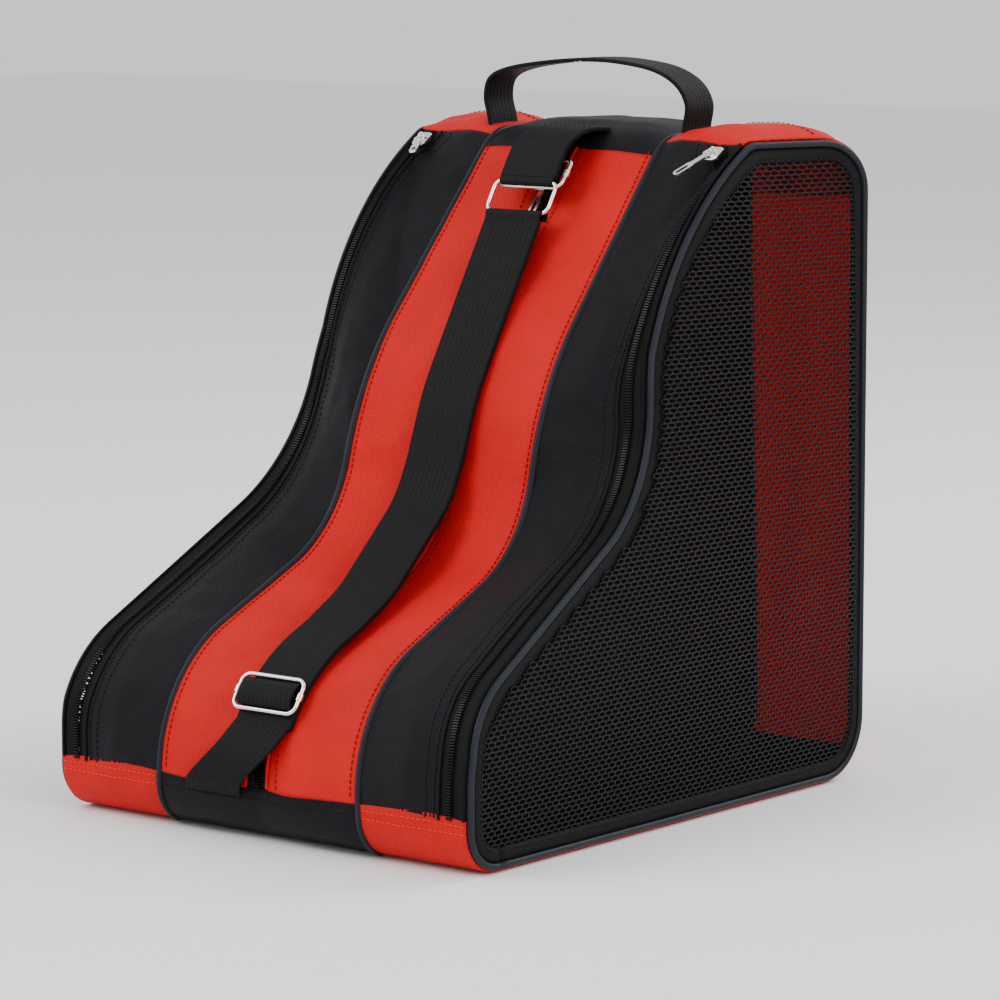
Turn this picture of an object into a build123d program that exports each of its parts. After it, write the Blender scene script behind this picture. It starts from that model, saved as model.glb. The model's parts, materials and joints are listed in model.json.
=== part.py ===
"""Three-compartment skate bag with mesh sides, a carry handle and an adjustable shoulder strap.

Millimetres. +X is the width, -Y the toe, +Z up. The model is drawn with Y = 0 near the middle of
its depth, and everything is moved at the end so that the origin is the centre of the footprint.
"""
import os
from math import cos, radians, sin

from build123d import *

# Overall size
HEIGHT = 360.0
TOE_Y = -200.0
BACK_Y = 155.0
BACK_HALF_WIDTH = 141.0
FRONT_HALF_WIDTH_LOW = 140.0
FRONT_HALF_WIDTH_HIGH = 113.0
NARROWING_START = 60.0
NARROWING_END = 250.0
SEAM_HALF_WIDTH_BASE = 70.0
SEAM_HALF_WIDTH_TOP = 60.0

# Side outline, shared radii
TOE_CORNER_RADIUS = 25.0
TOP_BACK_RADIUS = 30.0
HEEL_RADIUS = 35.0

# Side outline at the outer edge, at the inner seam and down the middle of the front
OUTER = dict(nose_radius=62.0, nose_turn=61.0, instep=114.0, instep_radius=100.0, instep_turn=51.0,
             link=3.0, shaft_radius=186.0, shaft_turn=49.0, shaft=3.0, brow_radius=20.0)
SEAM = dict(nose_radius=80.0, nose_turn=66.0, instep=63.0, instep_radius=79.0, instep_turn=51.0,
            link=10.0, shaft_radius=180.0, shaft_turn=26.0, shaft=115.0, brow_radius=30.0)
MIDDLE = dict(nose_radius=76.0, nose_turn=67.0, instep=66.0, instep_radius=79.0, instep_turn=52.0,
              link=22.0, shaft_radius=180.0, shaft_turn=25.0, shaft=107.0, brow_radius=32.0)
OUTER_REACH = 84.0
MIDDLE_REACH = 24.0
SEAM_PLANE = 60.0
REGION_MARGIN = 25.0
SHAFT_STATIONS = 7

# Cloth and trim
CLOTH = 1.8
PIPING = 4.0
PIPING_PROUD = 1.6
BINDING_WIDTH = 8.0
NET_THICKNESS = 1.4
TAPE_THICKNESS = 1.2
OUTER_TAPE_WIDTH = 7.0
COIL_WIDTH = 5.0
COIL_PROUD = 1.2
INNER_TAPE_WIDTH = 5.0
PIPING_LIP = 1.0

# Where one panel is sewn to the next
PATCH_TOP_Z = 30.0
BASE_TOP_Z = 16.0
PATCH_BACK_Y = -150.0
FRONT_TOP_Y = 74.0
CENTRE_TOP_Y = 66.0
TOP_BACK_Z = 325.0
BACK_FROM_Y = 100.0
ZIP_BOTTOM_Z = 30.0

# Zip pieces
SLIDER_LENGTH = 11.5
SLIDER_WIDTH = 9.0
SLIDER_FLANGE = 0.8
SLIDER_PLATE = 1.2
SLIDER_GAP = 0.4
ARCH_RADIUS = 2.2
ARCH_WIRE = 0.6
PULL_BAR = 0.6
PULL_LENGTH = 25.0
PULL_THICKNESS = 1.2
PULL_SWIVEL = 28.0
LEFT_PULL_LIFT = 14.0
SLIDER_BACK_STEP = 2.2
CENTRE_SLIDER_STEP = 20.0

# Shoulder strap and its metalwork
WEBBING_WIDTH = 38.0
WEBBING = 1.4
BUCKLE_WIDTH = 45.0
BUCKLE_HEIGHT = 22.0
BUCKLE_WIRE = 2.4
STRAP_STANDOFF = 1.5
STRAP_NOSE_START = 24.0
STRAP_NOSE_END = 64.0
STRAP_LEAD = 3.0
STRAP_INSTEP_RUN = 43.0
STRAP_UPPER_ROUTE = [(-58.0, 171.5), (-38.5, 224.0), (16.0, 314.5)]
STRAP_UPPER_RADII = [90.0, 75.0, 150.0]
STRAP_TAIL = [(-5.0, -204.5, 51.5), (-14.0, -208.0, 41.5), (-24.0, -207.0, 32.0), (-28.0, -203.0, 24.5)]
ADJUSTER_ANGLE = 34.0
ADJUSTER_LIFT = 0.5
RING_LOW = (18.0, 318.0)
RING_HIGH = (29.0, 336.0)
ANCHOR_ROUTE = [(31.0, 339.5), (42.0, 356.0), (60.0, 362.5), (80.0, 361.8)]
ANCHOR_RADII = [20.0, 40.0]
SPARE_LOW = (29.2, 331.3)
SPARE_HIGH = (43.5, 348.0)

# Carry handle
HANDLE_WIDTH = 25.0
HANDLE_THICKNESS = 2.4
HANDLE_HALF_SPAN = 68.0
HANDLE_TOP_Z = 402.0
HANDLE_Y = 93.0
HANDLE_AXIS_Z = 374.5
TAB_GAP = 0.9

FAR = 400.0


def fall(angle):
    """Height gained on a unit arc from level with the centre to the given slope angle."""
    return sin(radians(angle))


def outline_steps(form):
    """The outline's lines and arcs from the toe's underside, as (length or radius, turn in degrees)."""
    slope = form["nose_turn"] - form["instep_turn"]
    brow_start = slope + form["shaft_turn"]
    rise = (TOE_CORNER_RADIUS
            + form["nose_radius"] * fall(form["nose_turn"])
            + form["instep"] * cos(radians(form["nose_turn"]))
            + form["instep_radius"] * (fall(form["nose_turn"]) - fall(slope))
            + form["link"] * cos(radians(slope))
            + form["shaft_radius"] * (fall(brow_start) - fall(slope))
            + form["shaft"] * cos(radians(brow_start))
            + form["brow_radius"] * (1.0 - fall(brow_start)))
    return [(TOE_CORNER_RADIUS, -90.0), (HEIGHT - rise, 0.0), (form["nose_radius"], -form["nose_turn"]),
            (form["instep"], 0.0), (form["instep_radius"], form["instep_turn"]), (form["link"], 0.0),
            (form["shaft_radius"], -form["shaft_turn"]), (form["shaft"], 0.0),
            (form["brow_radius"], brow_start - 90.0)]


def walk(form, inset=0.0):
    """Tangent lines and arcs of a side outline in the (Y, Z) plane, moved inwards by inset."""
    point = Vector(TOE_Y + TOE_CORNER_RADIUS, inset)
    heading = Vector(-1, 0)
    pieces = []
    for size, turn in outline_steps(form):
        if turn == 0.0:
            piece = Line(point, point + heading * size)
        else:
            radius = size - inset if turn < 0.0 else size + inset
            piece = JernArc(point, heading, radius, turn)
        pieces.append(piece)
        point = piece @ 1
        heading = (piece % 1).normalized()
    corner = BACK_Y - TOP_BACK_RADIUS
    pieces.append(Line(point, (corner, HEIGHT - inset)))
    pieces.append(JernArc(pieces[-1] @ 1, (1, 0), TOP_BACK_RADIUS - inset, -90))
    pieces.append(Line(pieces[-1] @ 1, (BACK_Y - inset, HEEL_RADIUS)))
    pieces.append(JernArc(pieces[-1] @ 1, (0, -1), HEEL_RADIUS - inset, -90))
    pieces.append(Line(pieces[-1] @ 1, pieces[0] @ 0))
    return pieces


def outline_face(form, inset, x):
    """The filled outline, standing at the given X."""
    return Plane.YZ.offset(x) * make_face(Wire(edges=[piece.edge() for piece in walk(form, inset)]))


def side_form(inset):
    """The right compartment's filled shape: the outer outline, blended into the seam's outline."""
    outer = extrude(outline_face(OUTER, inset, OUTER_REACH), FAR / 2)
    blend = loft([outline_face(SEAM, inset, SEAM_PLANE - 4), outline_face(OUTER, inset, OUTER_REACH)], ruled=True)
    return outer + blend


def centre_form(inset):
    """The centre compartment's filled shape, with the dished middle of its front."""
    right = loft([outline_face(MIDDLE, inset, MIDDLE_REACH), outline_face(SEAM, inset, SEAM_HALF_WIDTH_BASE + 4)],
                 ruled=True)
    middle = extrude(outline_face(MIDDLE, inset, -MIDDLE_REACH), 2 * MIDDLE_REACH)
    return middle + right + mirror(right, about=Plane.YZ)


def front_stations():
    """Heights and front-edge positions along the outer outline, as (z, y)."""
    pieces = walk(OUTER)
    nose, instep_arc, shaft_arc = pieces[2], pieces[4], pieces[6]
    points = [nose @ 0, nose @ 1, instep_arc @ 0.5]
    points += [shaft_arc @ (step / SHAFT_STATIONS) for step in range(SHAFT_STATIONS + 1)]
    return [(point.Y, point.X) for point in points]


def side_stations():
    """Heights with the front edge's Y and the side panel's plan slope, from its front to its back edge."""
    stations = []
    for z, y in front_stations():
        share = min(max((z - NARROWING_START) / (NARROWING_END - NARROWING_START), 0.0), 1.0)
        front = FRONT_HALF_WIDTH_LOW + share * (FRONT_HALF_WIDTH_HIGH - FRONT_HALF_WIDTH_LOW)
        stations.append((z, y, (BACK_HALF_WIDTH - front) / (BACK_Y - y)))
    below = (-10.0, TOE_Y, stations[0][2])
    above = (HEIGHT + 10.0, stations[-1][1], stations[-1][2])
    return [below] + stations + [above]


STATIONS = side_stations()
SLOPE_AT = {z: slope for z, _, slope in STATIONS}


def side_x(y, z):
    """Half width at the outer edge of the right side panel, at a station's height."""
    return BACK_HALF_WIDTH - SLOPE_AT[z] * (BACK_Y - y)


def seam_x(y, z):
    """Half width at the inner seam."""
    return SEAM_HALF_WIDTH_BASE + (SEAM_HALF_WIDTH_TOP - SEAM_HALF_WIDTH_BASE) * z / HEIGHT


def middle_x(y, z):
    """The bag's middle plane."""
    return 0.0


def region(inner, inner_step, outer, outer_step):
    """Everything between two upright surfaces, each moved along X by its own step."""
    back = BACK_Y + REGION_MARGIN
    sections = []
    for z, edge_y, _ in STATIONS:
        front = edge_y - REGION_MARGIN
        corners = [(inner(front, z) + inner_step, front, z), (outer(front, z) + outer_step, front, z),
                   (outer(back, z) + outer_step, back, z), (inner(back, z) + inner_step, back, z)]
        sections.append(make_face(Polyline(*corners, close=True)))
    return loft(sections, ruled=True)


def window(y_low=-FAR, y_high=FAR, z_low=-FAR, z_high=FAR):
    """A block across the whole width, bounded in Y and Z."""
    size = (3 * FAR, y_high - y_low, z_high - z_low)
    return Pos(0, (y_low + y_high) / 2, (z_low + z_high) / 2) * Box(*size)


def largest(shape):
    """The biggest solid of a cut, without slivers."""
    return max(shape.solids(), key=lambda solid: solid.volume)


def ring(form, high, low):
    """The skin between two insets of a compartment's shape."""
    return form(high) - form(low)


def right_side_parts():
    """Every cloth and trim piece of the right compartment."""
    skin = ring(side_form, 0.0, CLOTH)
    tape_skin = ring(side_form, 0.0, TAPE_THICKNESS)
    tape_inner = -PIPING_LIP - OUTER_TAPE_WIDTH
    coil_inner = tape_inner - COIL_WIDTH
    panel_edge = coil_inner - INNER_TAPE_WIDTH
    whole = region(seam_x, PIPING / 2, side_x, -PIPING_LIP)
    behind_zip = region(seam_x, PIPING / 2, side_x, panel_edge)
    zipped = window(y_high=FRONT_TOP_Y, z_low=ZIP_BOTTOM_Z)
    front = window(y_high=FRONT_TOP_Y, z_low=PATCH_TOP_Z)
    parts = {}
    parts["front_panel"] = skin & behind_zip & front
    parts["zip_outer_tape"] = tape_skin & region(side_x, tape_inner, side_x, -PIPING_LIP) & zipped
    parts["zip_inner_tape"] = tape_skin & region(side_x, panel_edge, side_x, coil_inner) & zipped
    coil_skin = ring(side_form, -COIL_PROUD, TAPE_THICKNESS)
    parts["zip_coil"] = coil_skin & region(side_x, coil_inner, side_x, tape_inner) & zipped
    parts["toe_patch"] = skin & whole & window(y_high=PATCH_BACK_Y, z_high=PATCH_TOP_Z)
    parts["top_panel"] = skin & whole & window(y_low=FRONT_TOP_Y, z_low=TOP_BACK_Z)
    parts["back_panel"] = skin & whole & window(y_low=BACK_FROM_Y, z_low=BASE_TOP_Z, z_high=TOP_BACK_Z)
    parts["base_strip"] = skin & whole & window(y_low=PATCH_BACK_Y, z_high=BASE_TOP_Z)
    cord = extrude(outline_face(OUTER, 1.0, OUTER_REACH), FAR) - extrude(outline_face(OUTER, 1.0 + PIPING, 0), 2 * FAR)
    parts["outer_piping"] = cord & region(side_x, -PIPING_LIP, side_x, PIPING - PIPING_LIP)
    inside = extrude(outline_face(OUTER, 1.0 + PIPING, OUTER_REACH), FAR)
    hole = extrude(outline_face(OUTER, 1.0 + PIPING + BINDING_WIDTH, 0), 2 * FAR)
    sheet = region(side_x, 0.0, side_x, NET_THICKNESS)
    parts["side_binding"] = (inside & sheet) - hole
    parts["side_net"] = extrude(outline_face(OUTER, 1.0 + PIPING + BINDING_WIDTH, OUTER_REACH), FAR) & sheet
    seam_cord = ring(side_form, -PIPING_PROUD, PIPING - PIPING_PROUD)
    parts["seam_piping"] = seam_cord & region(seam_x, -PIPING / 2, seam_x, PIPING / 2) & window(z_low=3.0)
    inner = side_form(CLOTH + 1.0)
    parts["divider"] = inner & region(seam_x, -0.8, seam_x, 0.8)
    return {name: largest(part) for name, part in parts.items()}


def centre_parts():
    """Every cloth and trim piece of the centre compartment."""
    skin = ring(centre_form, 0.0, CLOTH)
    tape_skin = ring(centre_form, 0.0, TAPE_THICKNESS)
    coil_skin = ring(centre_form, -COIL_PROUD, TAPE_THICKNESS)
    front = window(y_high=CENTRE_TOP_Y, z_low=PATCH_TOP_Z)
    coil_edge = COIL_WIDTH / 2
    tape_edge = coil_edge + INNER_TAPE_WIDTH
    half = region(middle_x, tape_edge, seam_x, -PIPING / 2)
    tape = region(middle_x, coil_edge, middle_x, tape_edge)
    whole = half + mirror(half, about=Plane.YZ) + region(middle_x, -tape_edge, middle_x, tape_edge)
    parts = {}
    parts["centre_front_right"] = skin & half & front
    parts["centre_front_left"] = mirror(parts["centre_front_right"], about=Plane.YZ)
    parts["centre_zip_right_tape"] = tape_skin & tape & front
    parts["centre_zip_left_tape"] = mirror(parts["centre_zip_right_tape"], about=Plane.YZ)
    parts["centre_zip_coil"] = coil_skin & region(middle_x, -coil_edge, middle_x, coil_edge) & front
    parts["centre_toe_panel"] = skin & whole & window(y_high=PATCH_BACK_Y, z_high=PATCH_TOP_Z)
    parts["centre_top_panel"] = skin & whole & window(y_low=CENTRE_TOP_Y, z_low=TOP_BACK_Z)
    parts["centre_back_panel"] = skin & whole & window(y_low=BACK_FROM_Y, z_low=BASE_TOP_Z, z_high=TOP_BACK_Z)
    parts["centre_base_panel"] = skin & whole & window(y_low=PATCH_BACK_Y, z_high=BASE_TOP_Z)
    return {name: largest(part) for name, part in parts.items()}


def slider_body():
    """A zip slider: plate, side flanges and arch. +X runs along the zip, +Z out of it, origin on the coil."""
    base = COIL_PROUD + SLIDER_GAP
    plate = Pos(0, 0, base + SLIDER_PLATE / 2) * Box(SLIDER_LENGTH, SLIDER_WIDTH, SLIDER_PLATE)
    plate = fillet(plate.edges().filter_by(Axis.Z), 2.6)
    plate = fillet(plate.faces().sort_by(Axis.Z)[-1].edges(), 0.5)
    flange_height = base - SLIDER_GAP
    body = plate
    for side in (-1, 1):
        flange = Box(SLIDER_LENGTH - 6.0, SLIDER_FLANGE, flange_height)
        body += Pos(0, side * (SLIDER_WIDTH - SLIDER_FLANGE) / 2, SLIDER_GAP + flange_height / 2) * flange
    arch = Rot(90, 0, 0) * Torus(ARCH_RADIUS, ARCH_WIRE)
    arch &= Pos(0, 0, 5) * Box(20, 20, 10)
    foot = Pos(ARCH_RADIUS, 0, -0.5) * Cylinder(ARCH_WIRE, 1.0)
    lifted = Pos(0, 0, pull_axis_height()) * (arch + foot + mirror(foot, about=Plane.YZ))
    return largest(body + lifted)


def pull_axis_height():
    """Height of the pull's hinge line above the tape."""
    return COIL_PROUD + SLIDER_GAP + SLIDER_PLATE + PULL_BAR + 0.3


def pull_tab():
    """A slim slotted pull that lies along -X from its eye, with the hinge line on Y at the origin."""
    eye_width = 7.2
    eye_length = 5.2
    head = Pos(-eye_length / 2 + PULL_BAR, 0) * RectangleRounded(eye_length, eye_width, 1.4)
    neck = Pos(-PULL_LENGTH / 2, 0) * Rectangle(PULL_LENGTH - 6.0, 3.4)
    tip = Pos(-PULL_LENGTH + 6.0, 0) * SlotOverall(13.0, 5.0)
    hole = Pos(-1.4, 0) * Rectangle(4.8, 4.8)
    slot = Pos(-PULL_LENGTH + 5.0, 0) * SlotOverall(8.0, 2.0)
    flat = head + neck + tip - hole - slot
    bar = Rot(90, 0, 0) * Cylinder(PULL_BAR, eye_width - 1.0)
    return largest(extrude(flat, PULL_THICKNESS / 2, both=True) + bar)


def shaft_frame(step):
    """A frame on the outer outline's shaft arc, step millimetres below its upper end, and the arc's centre."""
    arc = walk(OUTER)[6]
    spot = arc @ (1.0 - step / arc.length)
    along = (arc % (1.0 - step / arc.length)).normalized()
    normal = Vector(-along.Y, along.X)
    centre = spot - normal * OUTER["shaft_radius"]
    x = FRONT_HALF_WIDTH_HIGH - PIPING_LIP - OUTER_TAPE_WIDTH - COIL_WIDTH / 2
    frame = Plane(origin=(x, spot.X, spot.Y), x_dir=(0, along.X, along.Y), z_dir=(0, normal.X, normal.Y))
    return frame, Vector(x, centre.X, centre.Y)


def centre_frame(step):
    """A frame on the middle outline's straight shaft, step millimetres below its upper end."""
    line = walk(MIDDLE)[7]
    spot = line @ (1.0 - step / line.length)
    along = (line % 0.5).normalized()
    normal = Vector(-along.Y, along.X)
    return Plane(origin=(0, spot.X, spot.Y), x_dir=(0, along.X, along.Y), z_dir=(0, normal.X, normal.Y))


def zip_hardware():
    """Sliders and pulls, in place, with the hinge data of each."""
    parts = {}
    frame, centre = shaft_frame(SLIDER_BACK_STEP + SLIDER_LENGTH / 2)
    axis_height = pull_axis_height()
    pulls = {"right": Rot(0, 0, -PULL_SWIVEL) * pull_tab(),
             "left": Rot(0, 0, -PULL_SWIVEL) * Rot(0, LEFT_PULL_LIFT, 0) * pull_tab()}
    parts["right_zip_slider"] = frame * slider_body()
    parts["left_zip_slider"] = mirror(parts["right_zip_slider"], about=Plane.YZ)
    parts["right_zip_pull"] = frame * (Pos(0, 0, axis_height) * pulls["right"])
    parts["left_zip_pull"] = mirror(frame * (Pos(0, 0, axis_height) * pulls["left"]), about=Plane.YZ)
    middle = centre_frame(CENTRE_SLIDER_STEP)
    parts["centre_zip_slider"] = middle * slider_body()
    parts["centre_zip_pull"] = middle * (Pos(0, 0, axis_height) * pull_tab())
    hinge = frame.from_local_coords(Vector(0, 0, axis_height))
    swivel = frame.from_local_coords(Vector(sin(radians(PULL_SWIVEL)), cos(radians(PULL_SWIVEL)), 0))
    facts = {"shaft centre": centre, "right pull hinge": hinge, "right pull axis": swivel - frame.origin,
             "centre pull hinge": middle.from_local_coords(Vector(0, 0, axis_height)),
             "centre slide": middle.x_dir * -1}
    return parts, facts


def buckle(with_bar):
    """A wire frame in the XY plane, with a flat middle bar wrapped round its ends when asked."""
    corner = 5.0
    path = RectangleRounded(BUCKLE_WIDTH - BUCKLE_WIRE, BUCKLE_HEIGHT - BUCKLE_WIRE, corner).wire()
    start = path @ 0
    wire = sweep(Plane(origin=start, z_dir=path % 0) * Circle(BUCKLE_WIRE / 2), path=path)
    if not with_bar:
        return largest(wire)
    reach = BUCKLE_WIDTH / 2 - BUCKLE_WIRE / 2
    bar = Box(2 * reach, 3.0, 1.4)
    sleeve = Cylinder(BUCKLE_WIRE / 2 + 0.7, 4.0, rotation=(90, 0, 0))
    return largest(wire + bar + Pos(reach, 0, 0) * sleeve + Pos(-reach, 0, 0) * sleeve)


def along_plane(low, high, share, lift):
    """A frame on the line between two (Y, Z) points: X across the bag, Y up the line, Z outwards."""
    line = Line(low, high)
    spot = line @ share
    along = (line % 0.5).normalized()
    normal = Vector(-along.Y, along.X)
    origin = spot + normal * lift
    return Plane(origin=(0, origin.X, origin.Y), x_dir=(1, 0, 0), z_dir=(0, normal.X, normal.Y))


def band(route, radii, width, thickness, lift):
    """Webbing of the given width along a filleted route in the (Y, Z) plane, lifted along its normal."""
    points = [(0, y, z) for y, z in route]
    path = FilletPolyline(*points, radius=radii)
    heading = path % 0
    normal = Vector(0, -heading.Z, heading.Y)
    start = Plane(origin=(path @ 0) + normal * lift, x_dir=(1, 0, 0), z_dir=heading)
    return sweep(start * Rectangle(width, thickness), path=path)


def strap_tail(start):
    """The single webbing from the buckle down to the seam beside the centre zip."""
    sections = []
    heading = Vector(0.0, -sin(radians(STRAP_NOSE_START)), -cos(radians(STRAP_NOSE_START)))
    normal = Vector(0.0, heading.Z, -heading.Y)
    first = Vector(0.0, start[0], start[1]) + heading * 0.2 + normal * WEBBING / 2
    stops = [first] + STRAP_TAIL
    headings = [heading, (-0.35, -0.65, -0.75), (-0.4, -0.3, -0.9), (-0.3, 0.3, -0.95), (-0.2, 0.5, -0.9)]
    for stop, heading in zip(stops, headings):
        across = Vector(1, 0, 0) - Vector(heading).normalized() * Vector(heading).normalized().X
        frame = Plane(origin=stop, x_dir=across, z_dir=heading)
        sections.append(frame * Rectangle(WEBBING_WIDTH, WEBBING))
    return loft(sections, ruled=True)


def nose_centre():
    """Centre of the seam outline's nose arc, in (Y, Z)."""
    nose_line = outline_steps(SEAM)[1][0]
    return Vector(TOE_Y + SEAM["nose_radius"], TOE_CORNER_RADIUS + nose_line)


def on_nose(angle, radius):
    """A point at the given slope angle on a circle round the nose arc's centre."""
    return nose_centre() + Vector(-cos(radians(angle)), sin(radians(angle))) * radius


def strap_route():
    """Corners of the doubled strap's middle line: round the nose, across the instep and up the shaft."""
    radius = SEAM["nose_radius"] + STRAP_STANDOFF
    half_turn = (STRAP_NOSE_END - STRAP_NOSE_START) / 2
    corner = on_nose(STRAP_NOSE_START + half_turn, radius / cos(radians(half_turn)))
    low_heading = Vector(sin(radians(STRAP_NOSE_START)), cos(radians(STRAP_NOSE_START)))
    high_heading = Vector(sin(radians(STRAP_NOSE_END)), cos(radians(STRAP_NOSE_END)))
    start = on_nose(STRAP_NOSE_START, radius) - low_heading * STRAP_LEAD
    instep = on_nose(STRAP_NOSE_END, radius) + high_heading * STRAP_INSTEP_RUN
    route = [(point.X, point.Y) for point in (start, corner, instep)] + STRAP_UPPER_ROUTE
    return route, [radius] + STRAP_UPPER_RADII


def strap_parts():
    """The shoulder strap, its anchor and their metalwork."""
    parts = {}
    route, radii = strap_route()
    parts["shoulder_strap"] = band(route, radii, WEBBING_WIDTH, 2 * WEBBING, 0.0)
    parts["strap_tail"] = strap_tail(route[0])
    rider_radius = SEAM["nose_radius"] + STRAP_STANDOFF + WEBBING + BUCKLE_WIRE / 2 + ADJUSTER_LIFT
    low = on_nose(ADJUSTER_ANGLE - 1.0, rider_radius)
    high = on_nose(ADJUSTER_ANGLE + 1.0, rider_radius)
    rider = along_plane((low.X, low.Y), (high.X, high.Y), 0.5, 0.0)
    parts["strap_adjuster"] = rider * buckle(True)
    gap = 0.35
    bight_flat = BUCKLE_HEIGHT - 2 * BUCKLE_WIRE - 2 * gap
    outer = Pos(0, 0, 1.6) * Box(WEBBING_WIDTH, bight_flat, WEBBING)
    parts["strap_adjuster_bight"] = rider * largest(outer - Box(2 * FAR, 3.0 + 2 * gap, 1.4 + 2 * gap))
    ring_frame = along_plane(RING_LOW, RING_HIGH, 0.5, 0.0)
    parts["strap_ring"] = ring_frame * buckle(False)
    anchor = band(ANCHOR_ROUTE, ANCHOR_RADII, WEBBING_WIDTH, 2 * WEBBING, 0.0)
    parts["strap_anchor"] = anchor
    parts["spare_adjuster"] = along_plane(SPARE_LOW, SPARE_HIGH, 0.5, 0.0) * buckle(True)
    return parts, nose_centre()


def handle_parts():
    """The carry handle's loop and the two sewn tabs that it folds on."""
    top = HANDLE_TOP_Z - HANDLE_THICKNESS / 2
    reach = HANDLE_HALF_SPAN
    shape = FilletPolyline((-reach, HANDLE_AXIS_Z), (-reach - 2, HANDLE_AXIS_Z + 8), (-reach + 12, top - 1),
                           (0, top), (reach - 12, top - 1), (reach + 2, HANDLE_AXIS_Z + 8), (reach, HANDLE_AXIS_Z),
                           radius=[8.0, 9.0, 60.0, 9.0, 8.0])
    path = Plane.XZ.offset(-HANDLE_Y) * shape
    start = Plane(origin=path @ 0, x_dir=(0, 1, 0), z_dir=path % 0)
    loop = sweep(start * Rectangle(HANDLE_WIDTH, HANDLE_THICKNESS), path=path)
    end = Rot(0, 90, 0) * Cylinder(HANDLE_WIDTH / 2, HANDLE_THICKNESS)
    for side in (-1, 1):
        loop += Pos(side * reach, HANDLE_Y, HANDLE_AXIS_Z) * end
    tab_x = reach - HANDLE_THICKNESS - TAB_GAP
    tab = Box(HANDLE_THICKNESS, HANDLE_WIDTH, HANDLE_AXIS_Z - HEIGHT)
    tab = Pos(tab_x, HANDLE_Y, (HANDLE_AXIS_Z + HEIGHT) / 2) * tab
    return {"handle_loop": largest(loop), "right_handle_tab": tab, "left_handle_tab": mirror(tab, about=Plane.YZ)}


def build():
    """All nodes, in the drawing frame."""
    nodes = {}
    for name, part in right_side_parts().items():
        nodes["right_" + name] = part
        nodes["left_" + name] = mirror(part, about=Plane.YZ)
    nodes.update(centre_parts())
    hardware, facts = zip_hardware()
    nodes.update(hardware)
    straps, adjuster_centre = strap_parts()
    nodes.update(straps)
    nodes.update(handle_parts())
    facts["adjuster centre"] = Vector(0, adjuster_centre.X, adjuster_centre.Y)
    facts["handle hinge"] = Vector(0, HANDLE_Y, HANDLE_AXIS_Z)
    return nodes, facts


def main():
    """Move every node to the footprint's centre and write it."""
    nodes, facts = build()
    box = Compound(children=[Compound(part.solids()) for part in nodes.values()]).bounding_box()
    shift = Vector(-box.center().X, -box.center().Y, -box.min.Z)
    os.makedirs("parts", exist_ok=True)
    for name, part in nodes.items():
        export_step(Pos(shift) * part, f"parts/{name}.step")
    print("shift", tuple(round(value, 3) for value in shift), "size", tuple(round(value, 2) for value in box.size))
    for name, value in facts.items():
        print(name, tuple(round(coordinate, 4) for coordinate in value))


main()
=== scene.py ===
"""The skate bag in cloth, net, webbing and zips, built round its CAD frame. Metres throughout."""
import json
import math
import bpy
import numpy as np
from mathutils import Matrix, Vector, noise


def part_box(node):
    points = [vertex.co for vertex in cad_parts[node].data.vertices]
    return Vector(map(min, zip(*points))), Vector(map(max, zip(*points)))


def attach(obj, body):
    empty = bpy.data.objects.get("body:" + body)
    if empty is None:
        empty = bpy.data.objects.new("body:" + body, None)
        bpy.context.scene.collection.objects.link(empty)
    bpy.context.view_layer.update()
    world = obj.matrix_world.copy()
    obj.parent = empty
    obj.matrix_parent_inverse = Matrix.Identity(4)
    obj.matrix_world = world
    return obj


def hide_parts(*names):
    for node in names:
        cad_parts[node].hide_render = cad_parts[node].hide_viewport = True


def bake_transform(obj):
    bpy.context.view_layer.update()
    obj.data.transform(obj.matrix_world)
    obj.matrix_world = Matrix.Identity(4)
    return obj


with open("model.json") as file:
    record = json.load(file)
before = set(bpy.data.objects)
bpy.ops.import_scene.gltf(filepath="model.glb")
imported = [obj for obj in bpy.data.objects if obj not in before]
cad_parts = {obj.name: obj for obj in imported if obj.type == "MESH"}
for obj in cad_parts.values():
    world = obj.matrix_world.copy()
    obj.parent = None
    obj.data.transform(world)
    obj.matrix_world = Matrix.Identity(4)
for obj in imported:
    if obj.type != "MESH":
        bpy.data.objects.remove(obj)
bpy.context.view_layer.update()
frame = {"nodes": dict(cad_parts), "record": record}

MM = 0.001
JOINTS = {joint["name"]: joint for joint in frame["record"]["behaviour"]["joints"]}
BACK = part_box("centre_back_panel")[1][1]
TOE = BACK - 0.355
HEIGHT = 0.360
NOSE_Y, NOSE_Z = JOINTS["strap_adjust"]["pos_m"][1:]
SIDES = {"right": 1, "left": -1}

# Outline of each side panel, seam and middle: arc radii and line lengths in millimetres, turns in degrees.
OUTER_FORM = (62, 61, 114, 100, 51, 3, 186, 49, 3, 20)
SEAM_FORM = (80, 66, 63, 79, 51, 10, 180, 26, 115, 30)
MIDDLE_FORM = (76, 67, 66, 79, 52, 22, 180, 25, 107, 32)
SAMPLES = (12, 6, 24, 24, 24, 6, 48, 24, 12, 24, 14, 40, 14, 40)
TOE_RADIUS, TOP_RADIUS, HEEL_RADIUS = 25, 30, 35
TOP_LINE = sum(SAMPLES[:9])
TOP_ARC = TOP_LINE + SAMPLES[9]
BACK_LINE = TOP_ARC + SAMPLES[10]
HEEL_ARC = BACK_LINE + SAMPLES[11]
BASE_LINE = HEEL_ARC + SAMPLES[12]
COUNT = sum(SAMPLES)

CLOTH = 1.4 * MM
FRONT_WIDTH = 70 * MM
SLACK_RUN = 20 * MM
PATCH_TOP = 30 * MM
PATCH_BACK = TOE + 50 * MM
TOP_FRONT = BACK - 81 * MM
CENTRE_TOP_FRONT = BACK - 89 * MM
TOP_BACK = 325 * MM
BASE_TOP = 16 * MM
COIL_OUT, COIL_IN, TAPE_IN = 8 * MM, 13 * MM, 18 * MM


def lerp(a, b, share):
    return a + (b - a) * share


def clamp(value):
    return min(max(value, 0.0), 1.0)


# ---------------------------------------------------------------- outlines

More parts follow.
